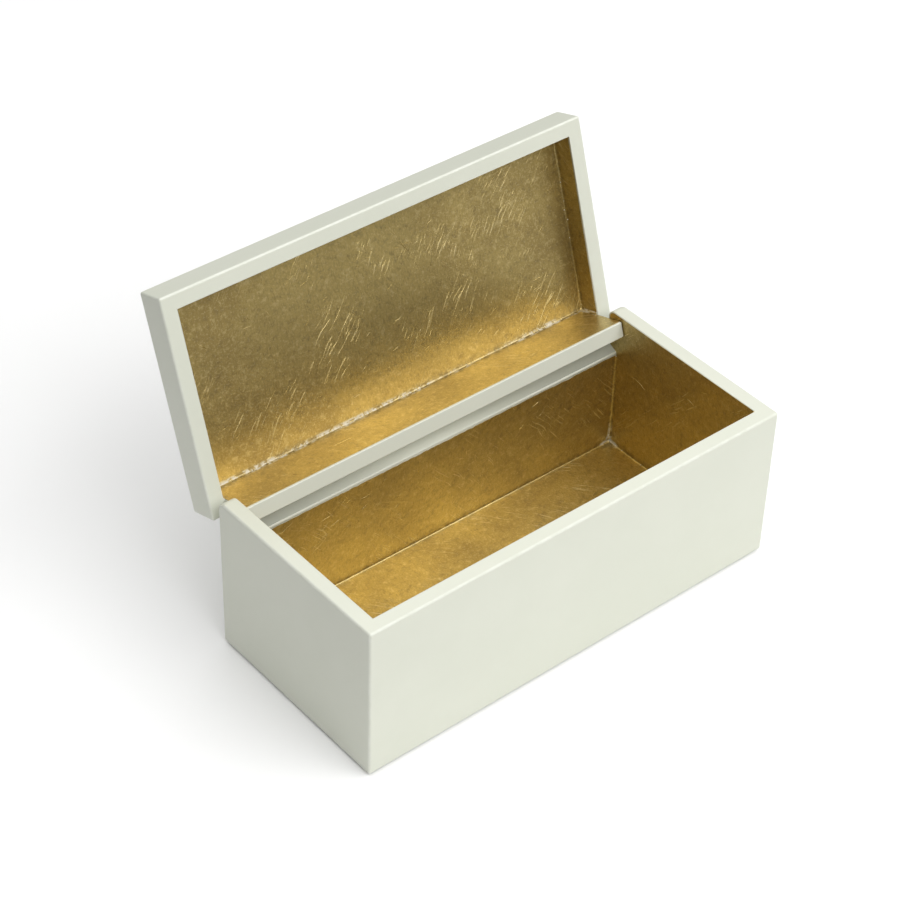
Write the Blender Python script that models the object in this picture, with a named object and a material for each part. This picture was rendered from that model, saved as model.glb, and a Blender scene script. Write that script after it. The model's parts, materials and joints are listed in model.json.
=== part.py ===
"""A lidded trinket box in lacquered wood with a gilt lining, standing open.

X runs along the box, Y to its back and Z up. The origin is the middle of the underside.
Every lid piece is drawn closed about the hinge axis, and one empty on that axis opens the lid.
"""

import math

import bmesh
import bpy
from mathutils import Matrix, Vector

MM = 0.001

# Outer sizes of the wooden box
LENGTH = 200 * MM
DEPTH = 90 * MM
BASE_HEIGHT = 70 * MM
LID_HEIGHT = 13.7 * MM

# Walls, from the lacquered outer face to the gilt inner face
WALL = 6.5 * MM
BACK_WALL = 6.1 * MM
FLOOR = 4.85 * MM
LID_PANEL = 2.5 * MM
CORNER_LAP = 3.2 * MM
ARRIS = 1.0 * MM
INNER_ARRIS = 0.4 * MM

# Thin gilt linings, let in below a narrow lacquered lip
LINING = 0.35 * MM
LIP = 0.8 * MM
GAP = 0.25 * MM

# Felt pad under the box
PAD = 0.8 * MM
PAD_INSET = 1.5 * MM

# Hinge: two blind steel pins join the base's end walls to the rail at the lid's back
HINGE_INSET = 2.8 * MM
HINGE_DROP = 7.4 * MM
PIN_RADIUS = 1.0 * MM
PIN_LENGTH = 13 * MM
PIN_IN_WALL = 4.2 * MM
PIN_CLEARANCE = 0.06 * MM
LINING_HOLE_CLEARANCE = 0.3 * MM
HINGE_RAIL_DROP = 14.2 * MM
HINGE_RAIL_END_PLAY = 0.4 * MM
REAR_CORNER_RADIUS = 3.5 * MM
BACK_WALL_FRONT_DROP = 18.6 * MM
BACK_WALL_REAR_DROP = 15.3 * MM
OPEN_ANGLE = math.radians(108)

ARRIS_STEPS = 3
CORNER_STEPS = 6
PIN_SIDES = 32
SHARP_ANGLE = math.radians(40)
CUT_MARGIN = 5 * MM

HALF_LENGTH = LENGTH / 2
HALF_DEPTH = DEPTH / 2
RECESS = LINING + GAP
BOTTOM_Z = PAD + GAP
RIM_Z = BOTTOM_Z + BASE_HEIGHT
FLOOR_TOP_Z = BOTTOM_Z + FLOOR - RECESS
HINGE_Y = HALF_DEPTH - HINGE_INSET
HINGE_Z = RIM_Z - HINGE_DROP
BACK_WALL_Y = HALF_DEPTH - BACK_WALL
INNER_X = HALF_LENGTH - WALL
INNER_FRONT_Y = -HALF_DEPTH + WALL
INNER_REAR_Y = HALF_DEPTH - WALL
LID_RIM_Z = RIM_Z + GAP
LID_TOP_Z = RIM_Z + LID_HEIGHT
PANEL_UNDER_Z = LID_TOP_Z - LID_PANEL
LID_RAIL_TOP_Z = PANEL_UNDER_Z - GAP
LINING_FOOT_Z = FLOOR_TOP_Z + GAP
LINING_OVER_WALL = 1.5 * GAP
BACK_LINING_TOP_Z = RIM_Z - BACK_WALL_FRONT_DROP - LIP - GAP
SIDE_PIECE_FRONT_Y = -HALF_DEPTH + CORNER_LAP + GAP
HINGE_RAIL_Z = RIM_Z - HINGE_RAIL_DROP
HINGE_RAIL_X = INNER_X - HINGE_RAIL_END_PLAY

# Colour, metallic and roughness of each finish
FINISHES = {
    "lacquer": ((0.76, 0.775, 0.715), 0.0, 0.32),
    "gilding": ((0.62, 0.40, 0.12), 1.0, 0.35),
    "steel": ((0.56, 0.56, 0.55), 1.0, 0.3),
    "felt": ((0.045, 0.035, 0.028), 0.0, 0.95),
}


def clear_scene():
    for obj in list(bpy.data.objects):
        bpy.data.objects.remove(obj, do_unlink=True)


def make_material(name):
    colour, metallic, roughness = FINISHES[name]
    material = bpy.data.materials.new(name)
    material.use_nodes = True
    shader = material.node_tree.nodes["Principled BSDF"]
    shader.inputs["Base Color"].default_value = (*colour, 1.0)
    shader.inputs["Metallic"].default_value = metallic
    shader.inputs["Roughness"].default_value = roughness
    material.diffuse_color = (*colour, 1.0)
    return material


def link_mesh(name, bm, material=None):
    """A scene object with this mesh, all its faces turned out."""
    bmesh.ops.recalc_face_normals(bm, faces=bm.faces[:])
    mesh = bpy.data.meshes.new(name)
    bm.to_mesh(mesh)
    bm.free()
    if material:
        mesh.materials.append(material)
    obj = bpy.data.objects.new(name, mesh)
    bpy.context.scene.collection.objects.link(obj)
    return obj


def near(value, target):
    return abs(value - target) < GAP / 10


def round_edges(bm, chosen, radius):
    """Rounds each edge whose two end points pass the test."""
    edges = [edge for edge in bm.edges if chosen(edge.verts[0].co, edge.verts[1].co)]
    bmesh.ops.bevel(
        bm, geom=edges, offset=radius, segments=ARRIS_STEPS, profile=0.5, affect="EDGES"
    )


def outer_arrises(outer_z):
    """Picks a block's edges where two of the box's outer faces meet."""

    def chosen(a, b):
        middle = (a + b) / 2
        on_end = near(abs(middle.x), HALF_LENGTH)
        on_front_or_back = near(abs(middle.y), HALF_DEPTH)
        return on_end + on_front_or_back + near(middle.z, outer_z) >= 2

    return chosen


def outer_outline(outer_x, front_y, hidden_z):
    """Picks the edges round a side piece's outer face, except where it meets its neighbours."""

    def chosen(a, b):
        on_face = near(a.x, outer_x) and near(b.x, outer_x)
        on_front = near(a.y, front_y) and near(b.y, front_y)
        on_hidden = near(a.z, hidden_z) and near(b.z, hidden_z)
        return on_face and not on_front and not on_hidden

    return chosen


def box_mesh(low, high):
    """A bmesh block between two opposite corners."""
    bm = bmesh.new()
    bmesh.ops.create_cube(bm, size=1.0)
    for vert in bm.verts:
        for axis in range(3):
            vert.co[axis] = high[axis] if vert.co[axis] > 0 else low[axis]
    return bm


def fillet(corners):
    """An outline in the YZ plane from corners (y, z, radius), the round ones drawn as arcs."""
    outline = []
    for index, (y, z, radius) in enumerate(corners):
        corner = Vector((y, z))
        if radius == 0:
            outline.append(corner)
            continue
        before = (Vector(corners[index - 1][:2]) - corner).normalized()
        after = (Vector(corners[(index + 1) % len(corners)][:2]) - corner).normalized()
        half_angle = before.angle(after) / 2
        centre = corner + (before + after).normalized() * radius / math.sin(half_angle)
        first = corner + before * radius / math.tan(half_angle) - centre
        last = corner + after * radius / math.tan(half_angle) - centre
        for step in range(CORNER_STEPS + 1):
            outline.append(centre + radius * first.slerp(last, step / CORNER_STEPS))
    return outline


def prism_mesh(outline, x_low, x_high):
    """A bmesh solid: an outline in the YZ plane drawn out along X."""
    bm = bmesh.new()
    face = bm.faces.new([bm.verts.new((x_low, y, z)) for y, z in outline])
    drawn = bmesh.ops.extrude_face_region(bm, geom=[face])["geom"]
    moved = [item for item in drawn if isinstance(item, bmesh.types.BMVert)]
    bmesh.ops.translate(bm, vec=(x_high - x_low, 0, 0), verts=moved)
    return bm


def rod_mesh(x_low, x_high, radius):
    """A bmesh rod along the hinge axis."""
    turn = 2 * math.pi / PIN_SIDES
    ring = [
        (HINGE_Y + radius * math.cos(turn * side), HINGE_Z + radius * math.sin(turn * side))
        for side in range(PIN_SIDES)
    ]
    return prism_mesh(ring, x_low, x_high)


def cut(obj, name, bm):
    """Takes a solid away from the object and hides that solid."""
    cutter = link_mesh(f"cut_{obj.name}_{name}", bm)
    cutter.hide_render = True
    cutter.display_type = "WIRE"
    modifier = obj.modifiers.new(name, "BOOLEAN")
    modifier.operation = "DIFFERENCE"
    modifier.solver = "EXACT"
    modifier.object = cutter


def mirrored(side, inner, outer):
    """The low and high X of a piece that lies between two distances from the middle."""
    return (inner, outer) if side > 0 else (-outer, -inner)


def side_name(side):
    return "right" if side > 0 else "left"


def end_lining_outline(margin):
    """The gilt part of an end wall's inner face: down to the floor, and back over the back wall."""
    front_y = INNER_FRONT_Y - LINING - margin
    foot_z = LINING_FOOT_Z - margin
    wall_y = BACK_WALL_Y - GAP + margin
    over_wall = LINING_OVER_WALL - margin
    rear_y = HALF_DEPTH - LIP - GAP + margin
    top_z = RIM_Z - LIP - GAP + margin
    return fillet(
        [
            (front_y, foot_z, 0),
            (wall_y, foot_z, 0),
            (wall_y, RIM_Z - BACK_WALL_FRONT_DROP + over_wall, 0),
            (rear_y, RIM_Z - BACK_WALL_REAR_DROP + over_wall, 0),
            (rear_y, top_z, REAR_CORNER_RADIUS - LIP),
            (front_y, top_z, 0),
        ]
    )


def back_wall_outline(margin):
    """The back wall's section. Its top slopes down to the front, clear of the hinge rail's swing."""
    front_z = RIM_Z - BACK_WALL_FRONT_DROP + margin
    rear_z = RIM_Z - BACK_WALL_REAR_DROP + margin
    return fillet(
        [
            (BACK_WALL_Y - margin, BOTTOM_Z - margin, 0),
            (HALF_DEPTH + margin, BOTTOM_Z - margin, 0),
            (HALF_DEPTH + margin, rear_z, 0),
            (BACK_WALL_Y - margin, front_z, 0 if margin else INNER_ARRIS),
        ]
    )


def cut_floor_rebate(obj):
    """The rebate along a wall's foot that holds the edge of the floor."""
    x = HALF_LENGTH - CORNER_LAP
    y = HALF_DEPTH - CORNER_LAP
    low = (-x, -y, BOTTOM_Z - CUT_MARGIN)
    cut(obj, "floor_rebate", box_mesh(low, (x, y, FLOOR_TOP_Z + GAP)))


def cut_corner_laps(obj, z_low, z_high):
    """The rebates at a front piece's two ends, which leave only a thin tongue over the side pieces."""
    for side in (-1, 1):
        x_low, x_high = mirrored(side, INNER_X - GAP, HALF_LENGTH + CUT_MARGIN)
        low = (x_low, -HALF_DEPTH + CORNER_LAP, z_low - CUT_MARGIN)
        high = (x_high, 0, z_high + CUT_MARGIN)
        cut(obj, f"{side_name(side)}_corner_lap", box_mesh(low, high))


def make_base_front_wall(material):
    low = (-HALF_LENGTH, -HALF_DEPTH, BOTTOM_Z)
    bm = box_mesh(low, (HALF_LENGTH, INNER_FRONT_Y, RIM_Z))
    round_edges(bm, outer_arrises(RIM_Z), ARRIS)
    wall = link_mesh("base_front_wall", bm, material)
    recess_low = (-INNER_X, INNER_FRONT_Y - RECESS, BOTTOM_Z - CUT_MARGIN)
    cut(wall, "lining_recess", box_mesh(recess_low, (INNER_X, 0, RIM_Z - LIP)))
    cut_floor_rebate(wall)
    cut_corner_laps(wall, BOTTOM_Z, RIM_Z)


def make_base_back_wall(material):
    x = HALF_LENGTH - CORNER_LAP - GAP
    wall = link_mesh("base_back_wall", prism_mesh(back_wall_outline(0), -x, x), material)
    recess_low = (-INNER_X, 0, BOTTOM_Z - CUT_MARGIN)
    recess_high = (INNER_X, BACK_WALL_Y + RECESS, BACK_LINING_TOP_Z + GAP)
    cut(wall, "lining_recess", box_mesh(recess_low, recess_high))
    cut_floor_rebate(wall)


def make_base_end_wall(side, material):
    """An end wall, full height to the back, with a rounded rear corner that clears the lid."""
    outline = fillet(
        [
            (SIDE_PIECE_FRONT_Y, BOTTOM_Z, 0),
            (HALF_DEPTH, BOTTOM_Z, 0),
            (HALF_DEPTH, RIM_Z, REAR_CORNER_RADIUS),
            (SIDE_PIECE_FRONT_Y, RIM_Z, 0),
        ]
    )
    bm = prism_mesh(outline, *mirrored(side, INNER_X, HALF_LENGTH))
    round_edges(bm, outer_outline(side * HALF_LENGTH, SIDE_PIECE_FRONT_Y, BOTTOM_Z), ARRIS)
    wall = link_mesh(f"base_{side_name(side)}_end_wall", bm, material)
    recess_x = mirrored(side, INNER_X - CUT_MARGIN, INNER_X + RECESS)
    cut(wall, "lining_recess", prism_mesh(end_lining_outline(GAP), *recess_x))
    cut_floor_rebate(wall)
    lap_x = mirrored(side, INNER_X - CUT_MARGIN, HALF_LENGTH - CORNER_LAP)
    cut(wall, "back_wall_lap", prism_mesh(back_wall_outline(GAP), *lap_x))
    hole_x = mirrored(side, INNER_X - CUT_MARGIN, INNER_X + PIN_IN_WALL + GAP)
    cut(wall, "pin_hole", rod_mesh(*hole_x, PIN_RADIUS + PIN_CLEARANCE))


def make_base_floor(material):
    x = HALF_LENGTH - CORNER_LAP - GAP
    y = HALF_DEPTH - CORNER_LAP - GAP
    bm = box_mesh((-x, -y, BOTTOM_Z), (x, y, FLOOR_TOP_Z))
    link_mesh("base_floor_panel", bm, material)


def make_felt_pad(material):
    x = HALF_LENGTH - PAD_INSET
    y = HALF_DEPTH - PAD_INSET
    link_mesh("base_felt_pad", box_mesh((-x, -y, 0), (x, y, PAD)), material)


def make_hinge_pin(side, material):
    outer_x = INNER_X + PIN_IN_WALL
    bm = rod_mesh(*mirrored(side, outer_x - PIN_LENGTH, outer_x), PIN_RADIUS)
    pin = link_mesh(f"{side_name(side)}_hinge_pin", bm, material)
    pin.data.shade_smooth()
    pin.data.set_sharp_from_angle(angle=SHARP_ANGLE)


def make_base_linings(material):
    x = INNER_X - GAP
    front_high = (x, INNER_FRONT_Y, RIM_Z - LIP - GAP)
    back_high = (x, BACK_WALL_Y + LINING, BACK_LINING_TOP_Z)
    blocks = {
        "floor": (
            (-x, INNER_FRONT_Y + GAP, LINING_FOOT_Z),
            (x, BACK_WALL_Y - GAP, LINING_FOOT_Z + LINING),
        ),
        "front": ((-x, INNER_FRONT_Y - LINING, LINING_FOOT_Z), front_high),
        "back": ((-x, BACK_WALL_Y, LINING_FOOT_Z), back_high),
    }
    for place, (low, high) in blocks.items():
        link_mesh(f"base_{place}_gilt_lining", box_mesh(low, high), material)
    for side in (-1, 1):
        face_x = mirrored(side, INNER_X, INNER_X + LINING)
        bm = prism_mesh(end_lining_outline(0), *face_x)
        lining = link_mesh(f"base_{side_name(side)}_gilt_lining", bm, material)
        hole_x = mirrored(side, INNER_X - CUT_MARGIN, INNER_X + CUT_MARGIN)
        cut(lining, "pin_hole", rod_mesh(*hole_x, PIN_RADIUS + LINING_HOLE_CLEARANCE))


def make_lid_top_panel(material):
    low = (-HALF_LENGTH, -HALF_DEPTH, PANEL_UNDER_Z)
    bm = box_mesh(low, (HALF_LENGTH, HALF_DEPTH, LID_TOP_Z))
    round_edges(bm, outer_arrises(LID_TOP_Z), ARRIS)
    return link_mesh("lid_top_panel", bm, material)


def make_lid_front_rail(material):
    low = (-HALF_LENGTH, -HALF_DEPTH, LID_RIM_Z)
    bm = box_mesh(low, (HALF_LENGTH, INNER_FRONT_Y, LID_RAIL_TOP_Z))
    round_edges(bm, outer_arrises(LID_RIM_Z), ARRIS)
    rail = link_mesh("lid_front_rail", bm, material)
    recess_low = (-INNER_X, INNER_FRONT_Y - RECESS, LID_RIM_Z + LIP)
    cut(rail, "lining_recess", box_mesh(recess_low, (INNER_X, 0, LID_TOP_Z)))
    cut_corner_laps(rail, LID_RIM_Z, LID_RAIL_TOP_Z)
    return rail


def make_lid_side_rail(side, material):
    x_low, x_high = mirrored(side, INNER_X, HALF_LENGTH)
    low = (x_low, SIDE_PIECE_FRONT_Y, LID_RIM_Z)
    bm = box_mesh(low, (x_high, HALF_DEPTH, LID_RAIL_TOP_Z))
    outline = outer_outline(side * HALF_LENGTH, SIDE_PIECE_FRONT_Y, LID_RAIL_TOP_Z)
    round_edges(bm, outline, ARRIS)
    rail = link_mesh(f"lid_{side_name(side)}_rail", bm, material)
    recess_x = mirrored(side, 0, INNER_X + RECESS)
    recess_low = (recess_x[0], INNER_FRONT_Y - RECESS, LID_RIM_Z + LIP)
    cut(rail, "lining_recess", box_mesh(recess_low, (recess_x[1], INNER_REAR_Y, LID_TOP_Z)))
    return rail


def make_lid_hinge_rail(material):
    """The deep back rail: it drops between the base's end walls and turns on the pins."""
    outline = fillet(
        [
            (INNER_REAR_Y, HINGE_RAIL_Z, INNER_ARRIS),
            (HALF_DEPTH, HINGE_RAIL_Z, ARRIS / 2),
            (HALF_DEPTH, LID_RAIL_TOP_Z, 0),
            (INNER_REAR_Y, LID_RAIL_TOP_Z, 0),
        ]
    )
    bm = prism_mesh(outline, -HINGE_RAIL_X, HINGE_RAIL_X)
    rail = link_mesh("lid_hinge_rail", bm, material)
    recess_low = (-HALF_LENGTH, 0, HINGE_RAIL_Z + LIP)
    recess_high = (HALF_LENGTH, INNER_REAR_Y + RECESS, LID_TOP_Z)
    cut(rail, "lining_recess", box_mesh(recess_low, recess_high))
    for side in (-1, 1):
        inner_x = INNER_X + PIN_IN_WALL - PIN_LENGTH - GAP
        hole_x = mirrored(side, inner_x, HALF_LENGTH)
        hole = rod_mesh(*hole_x, PIN_RADIUS + PIN_CLEARANCE)
        cut(rail, f"{side_name(side)}_pin_hole", hole)
    return rail


def make_lid_linings(material):
    x = INNER_X - GAP
    foot_z = LID_RIM_Z + LIP + GAP
    top_z = LID_RAIL_TOP_Z - LINING - GAP
    side_low_y = INNER_FRONT_Y - LINING
    rear_y = INNER_REAR_Y - GAP
    blocks = {
        "top": (
            (-x, INNER_FRONT_Y + GAP, LID_RAIL_TOP_Z - LINING),
            (x, rear_y, LID_RAIL_TOP_Z),
        ),
        "front": ((-x, INNER_FRONT_Y - LINING, foot_z), (x, INNER_FRONT_Y, top_z)),
        "left": ((-INNER_X - LINING, side_low_y, foot_z), (-INNER_X, rear_y, top_z)),
        "right": ((INNER_X, side_low_y, foot_z), (INNER_X + LINING, rear_y, top_z)),
        "hinge_rail": (
            (-HINGE_RAIL_X, INNER_REAR_Y, HINGE_RAIL_Z + LIP + GAP),
            (HINGE_RAIL_X, INNER_REAR_Y + LINING, top_z),
        ),
    }
    return [
        link_mesh(f"lid_{place}_gilt_lining", box_mesh(low, high), material)
        for place, (low, high) in blocks.items()
    ]


def hang_on_hinge(pieces):
    """Parents the lid's pieces and their cutters to an empty on the hinge axis, and opens it."""
    hinge = bpy.data.objects.new("lid_hinge_axis", None)
    bpy.context.scene.collection.objects.link(hinge)
    hinge.location = (0, HINGE_Y, HINGE_Z)
    to_hinge = Matrix.Translation(-hinge.location)
    for piece in pieces:
        cutters = [modifier.object for modifier in piece.modifiers]
        for obj in [piece, *cutters]:
            obj.data.transform(to_hinge)
            obj.parent = hinge
    hinge.rotation_euler.x = -OPEN_ANGLE


def make_base(lacquer, gilding, steel, felt):
    make_felt_pad(felt)
    make_base_floor(lacquer)
    make_base_front_wall(lacquer)
    make_base_back_wall(lacquer)
    for side in (-1, 1):
        make_base_end_wall(side, lacquer)
        make_hinge_pin(side, steel)
    make_base_linings(gilding)


def make_lid(lacquer, gilding):
    pieces = [
        make_lid_top_panel(lacquer),
        make_lid_front_rail(lacquer),
        make_lid_side_rail(-1, lacquer),
        make_lid_side_rail(1, lacquer),
        make_lid_hinge_rail(lacquer),
        *make_lid_linings(gilding),
    ]
    hang_on_hinge(pieces)


def main():
    clear_scene()
    lacquer, gilding, steel, felt = (make_material(name) for name in FINISHES)
    make_base(lacquer, gilding, steel, felt)
    make_lid(lacquer, gilding)


if __name__ == "__main__":
    main()
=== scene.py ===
"""Finishes for an open trinket box: celadon lacquer outside, metal leaf inside.

Lid pieces are drawn with the lid shut, where their faces lie along the axes, and are then opened
about the hinge. Run as a script, it makes every piece in order.
"""

import json
import math

import bmesh
import bpy
from mathutils import Matrix, Vector, noise


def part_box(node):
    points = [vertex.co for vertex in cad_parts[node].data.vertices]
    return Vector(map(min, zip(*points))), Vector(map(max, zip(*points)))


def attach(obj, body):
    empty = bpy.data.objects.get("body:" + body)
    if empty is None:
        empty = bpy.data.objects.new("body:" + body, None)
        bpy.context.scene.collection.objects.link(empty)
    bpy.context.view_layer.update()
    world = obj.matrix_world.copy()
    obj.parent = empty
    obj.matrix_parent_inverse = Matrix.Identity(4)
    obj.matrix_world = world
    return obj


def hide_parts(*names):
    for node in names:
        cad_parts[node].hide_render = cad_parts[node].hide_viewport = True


bl_info = {
    "name": "Gilded Box Finisher",
    "version": (1, 0, 0),
    "blender": (4, 5, 0),
    "location": "3D Viewport > Sidebar > Gilded Box",
    "description": "Builds the lacquer, the metal leaf and the stage of an open trinket box",
    "category": "Object",
}

MM = 0.001
TOUCH = 0.1 * MM

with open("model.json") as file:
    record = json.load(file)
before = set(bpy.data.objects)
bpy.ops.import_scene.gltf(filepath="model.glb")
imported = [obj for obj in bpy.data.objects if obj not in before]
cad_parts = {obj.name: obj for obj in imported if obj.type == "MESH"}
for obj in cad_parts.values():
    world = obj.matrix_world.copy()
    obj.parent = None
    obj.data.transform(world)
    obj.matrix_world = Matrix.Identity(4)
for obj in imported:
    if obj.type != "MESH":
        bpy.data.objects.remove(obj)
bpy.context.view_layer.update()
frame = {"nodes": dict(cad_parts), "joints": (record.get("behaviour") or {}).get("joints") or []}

HINGE = Vector(frame["joints"][0]["pos_m"])
SHUT_ANGLE = math.radians(frame["joints"][0]["range_deg"][1])
TO_HINGE = Matrix.Translation(HINGE)
SHUT = TO_HINGE @ Matrix.Rotation(SHUT_ANGLE, 4, "X") @ TO_HINGE.inverted()
OPEN = SHUT.inverted()


def shut_box(node):
    """The lowest and highest corner of a lid node with the lid shut."""
    points = [SHUT @ vertex.co for vertex in frame["nodes"][node].data.vertices]
    return tuple(
        Vector([pick(point[axis] for point in points) for axis in range(3)]) for pick in (min, max)
    )


FRONT_LOW, FRONT_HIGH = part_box("base_front_wall")
END_LOW, END_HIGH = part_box("base_right_end_wall")
BACK_LOW, BACK_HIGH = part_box("base_back_wall")
PAD_LOW, PAD_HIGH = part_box("base_felt_pad")
FRONT_LEAF_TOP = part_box("base_front_gilt_lining")[1].z
BACK_LEAF_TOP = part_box("base_back_gilt_lining")[1].z
PANEL_HIGH = shut_box("lid_top_panel")[1]
PANEL_LEAF_Z = shut_box("lid_top_gilt_lining")[0].z
RAIL_LOW, RAIL_HIGH = shut_box("lid_hinge_rail")
RAIL_LEAF_LOW = shut_box("lid_hinge_rail_gilt_lining")[0].z
LID_LEAF_LOW = shut_box("lid_front_gilt_lining")[0].z

OUTER_X = FRONT_HIGH.x
OUTER_Y = END_HIGH.y
INNER_X = END_LOW.x
INNER_FRONT_Y = FRONT_HIGH.y
INNER_BACK_Y = BACK_LOW.y
FOOT_Z = FRONT_LOW.z
FLOOR_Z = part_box("base_floor_gilt_lining")[1].z
RIM_Z = FRONT_HIGH.z
LID_RIM_Z = shut_box("lid_front_rail")[0].z


# ------------------------ settings


def colour_setting(name, description, default):
    return bpy.props.FloatVectorProperty(
        name=name, description=description, subtype="COLOR", default=default, min=0, max=1,
    )


def length_setting(name, description, default):
    return bpy.props.FloatProperty(
        name=name, description=description, subtype="DISTANCE", default=default, min=0, precision=5,
    )


def share_setting(name, description, default):
    return bpy.props.FloatProperty(
        name=name, description=description, subtype="FACTOR", default=default, min=0, max=1,
    )


def angle_setting(name, description, degrees):
    return bpy.props.FloatProperty(
        name=name, description=description, subtype="ANGLE", default=math.radians(degrees),
    )


def count_setting(name, description, default):
    return bpy.props.FloatProperty(name=name, description=description, default=default, min=0)


class LacquerSettings(bpy.types.PropertyGroup):
    colour: colour_setting("Colour", "Lacquer on a flat face", (0.632, 0.646, 0.555))
    cloud_colour: colour_setting("Clouding", "Lacquer where it lies thin", (0.604, 0.622, 0.528))
    # Paler lacquer on the arrises: partly rubbed wear, partly a painted highlight along the edges.
    rubbed_and_highlight_colour: colour_setting("Rubbed edge", "Lacquer on a rubbed arris", (0.700, 0.712, 0.640))
    speck_colour: colour_setting("Speck", "Dust caught in the lacquer", (0.300, 0.270, 0.200))
    roughness: share_setting("Roughness", "How satin the lacquer is", 0.44)
    arris: length_setting("Arris", "Radius of the outer edges", 1.1 * MM)
    inner_share: share_setting("Inner arris", "Inner edges' radius, as a share of the outer", 0.45)
    rear_corner: length_setting("Rear corner", "Radius of the end walls' rear corners", 3.5 * MM)


class LeafSettings(bpy.types.PropertyGroup):
    bright: colour_setting("Bright leaf", "Well burnished leaf", (0.620, 0.474, 0.168))
    dull: colour_setting("Dull leaf", "Leaf rubbed thin", (0.325, 0.232, 0.078))
    scuffed: colour_setting("Scuffed leaf", "Leaf on the crests of marks", (0.880, 0.740, 0.380))
    crust: colour_setting("Crust", "Dried size in the creases", (0.600, 0.550, 0.430))
    # Dark colour for painted shade in the leaf's creases and round the crust, and for the leaf's
    # own darker mottle.
    grime_and_crease_shade: colour_setting("Grime", "Dark settled in the creases", (0.120, 0.095, 0.065))
    roughness: share_setting("Roughness", "Roughness of burnished leaf", 0.34)
    proud: length_setting("Proud", "How far the leaf stands off the wood", 0.1 * MM)
    thickness: length_setting("Thickness", "Thickness of the gilt skin", 0.3 * MM)
    cove: length_setting("Cove", "Radius of the build-up in the inner corners", 0.8 * MM)
    ragged: length_setting("Ragged edge", "How far the leaf's edge wanders", 0.8 * MM)
    edge_lift: length_setting("Edge lift", "How far the base's leaf runs up to its rim", 0.5 * MM)
    wrinkle_count: count_setting("Wrinkles", "Most wrinkles on a square metre of the lid", 170000)
    base_share: share_setting("Base wrinkles", "Wrinkles in the base, as a share of the lid's", 0.3)
    wrinkle_length: length_setting("Wrinkle length", "Longest wrinkle", 5.5 * MM)
    wrinkle_width: length_setting("Wrinkle width", "Widest wrinkle", 0.13 * MM)
    crack_count: count_setting("Cracks", "Most long cracks on a square metre", 2600)
    crack_length: length_setting("Crack length", "Longest crack", 26 * MM)
    fleck_count: count_setting("Flecks", "Most glue flecks on a metre of corner", 260)
    fleck_size: length_setting("Fleck size", "Largest fleck", 0.30 * MM)
    fleck_dark: colour_setting("Dark fleck", "Darkest glue fleck", (0.62, 0.60, 0.50))
    fleck_light: colour_setting("Light fleck", "Lightest glue fleck", (0.86, 0.85, 0.78))


class FeltSettings(bpy.types.PropertyGroup):
    dark: colour_setting("Dark fibre", "Darkest fibre of the felt", (0.028, 0.020, 0.014))
    light: colour_setting("Light fibre", "Lightest fibre of the felt", (0.110, 0.085, 0.060))
    corner: length_setting("Corner", "Radius of the pad's corners", 3 * MM)
    edge: length_setting("Edge", "Radius of the pad's soft edges", 0.25 * MM)


class StageSettings(bpy.types.PropertyGroup):
    azimuth: angle_setting("Azimuth", "Camera's turn round the box", -40.63)
    elevation: angle_setting("Elevation", "Camera's height over the floor", 39.66)
    roll: angle_setting("Roll", "Camera's tilt", 1.73)
    distance: length_setting("Distance", "Camera to target", 0.9471)
    target: bpy.props.FloatVectorProperty(
        name="Target", description="Point that the camera looks at", subtype="XYZ",
        default=(-0.0120, 0.0181, 0.0682),
    )
    lens: bpy.props.FloatProperty(
        name="Lens", description="Focal length in millimetres on a 36 mm sensor", default=100.3,
    )
    fill: share_setting("Fill", "Brightness of the room", 0.13)
    floor_radius: length_setting("Floor radius", "Radius of the floor", 4.0)
    lit_radius: length_setting("Lit radius", "Radius of the floor's pale part", 0.44)
    floor_colour: colour_setting("Floor", "Pale part of the floor", (0.912, 0.912, 0.910))
    floor_shade: colour_setting("Floor mottle", "Faint mottle of the floor", (0.900, 0.900, 0.897))
    # Painted falloff: the floor is painted grey past its pale part, as the softboxes' light fades
    # away.
    painted_falloff_colour: colour_setting("Floor edge", "Floor past its pale part", (0.20, 0.20, 0.20))


# ------------------------ node trees


class Wire:
    """A node's output that works in Python sums."""

    def __init__(self, tree, socket):
        self.tree = tree
        self.socket = socket

    def __add__(self, other):
        return self.tree.number("ADD", self, other)

    __radd__ = __add__

    def __mul__(self, other):
        return self.tree.number("MULTIPLY", self, other)

    __rmul__ = __mul__

    def __sub__(self, other):
        return self.tree.number("SUBTRACT", self, other)

    def __rsub__(self, other):
        return self.tree.number("SUBTRACT", other, self)

    def rise(self, low, high):
        """0 at low and 1 at high, with an eased climb between; it falls where high is the lower."""
        flip = low > high
        inputs = {"Value": self, "From Min": min(low, high), "From Max": max(low, high)}
        inputs.update({"To Min": float(flip), "To Max": float(not flip)})
        return self.tree.node("ShaderNodeMapRange", {"interpolation_type": "SMOOTHSTEP"}, inputs)


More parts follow.
